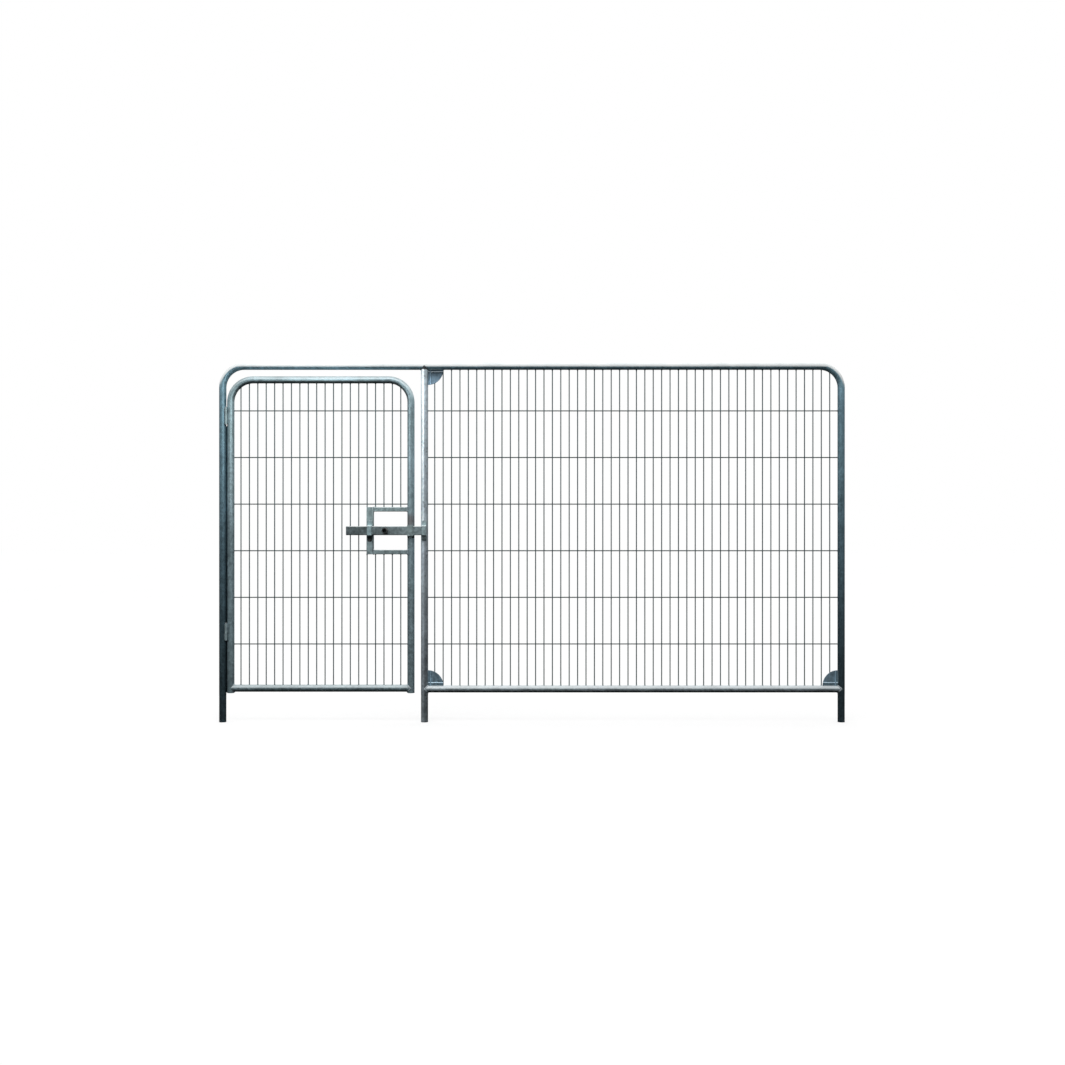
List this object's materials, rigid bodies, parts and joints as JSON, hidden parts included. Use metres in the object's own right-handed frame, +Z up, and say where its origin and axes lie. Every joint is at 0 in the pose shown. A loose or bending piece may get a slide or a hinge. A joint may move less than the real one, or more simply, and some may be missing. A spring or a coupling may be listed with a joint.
{
  "type": "fence panel with gate",
  "caption": "Tall round-top tubular fence panel with welded wire mesh, standing legs and a hinged pedestrian gate shut by a sliding bolt.",
  "frame": {"origin": "centre of the left (hinge side) leg's foot, on the ground", "axes": "+X along the panel towards the right post, +Y to the back, +Z up"},
  "size_m": [3.5, 0.1106, 2.01],
  "materials": {
    "frame_tube": "hot-dip galvanised, dull",
    "gate_tube": "hot-dip galvanised, dull",
    "mesh_wire": "hot-dip galvanised, dull",
    "gusset_plate": "hot-dip galvanised, spangled",
    "fabricated_steel": "hot-dip galvanised, spangled",
    "bolt_steel": "hot-dip galvanised, spangled",
    "hinge_pin": "zinc plated, satin"
  },
  "bodies": {
    "panel": {"frame_hoop": "frame_tube", "mid_post": "frame_tube", "bottom_rail": "frame_tube", "gusset_top_left": "gusset_plate", "gusset_bottom_left": "gusset_plate", "gusset_bottom_right": "gusset_plate", "panel_vertical_wires": "mesh_wire", "panel_horizontal_wires": "mesh_wire", "post_knuckle_upper": "fabricated_steel", "post_knuckle_lower": "fabricated_steel", "hinge_pin_upper": "hinge_pin", "hinge_pin_lower": "hinge_pin", "keeper_strap": "fabricated_steel", "hinge_guard": "fabricated_steel"},
    "gate": {"gate_hoop": "gate_tube", "gate_bottom_rail": "gate_tube", "gate_vertical_wires": "mesh_wire", "gate_horizontal_wires": "mesh_wire", "window_side_bar": "fabricated_steel", "window_top_bar": "fabricated_steel", "window_bottom_bar": "fabricated_steel", "guide_strap_inner": "fabricated_steel", "guide_strap_stile": "fabricated_steel", "gate_barrel_upper": "fabricated_steel", "gate_barrel_lower": "fabricated_steel"},
    "bolt": {"slide_bar": "bolt_steel", "bolt_handle": "bolt_steel"}
  },
  "joints": [
    {"name": "gate_swing", "type": "hinge", "parent": "panel", "child": "gate", "pos_m": [0.0225, -0.01766, 1], "axis": [0, 0, -1], "range_deg": [0, 165]},
    {"name": "bolt_slide", "type": "slide", "parent": "gate", "child": "bolt", "axis": [1, 0, 0], "range_m": [-0.061, 0.106]}
  ]
}
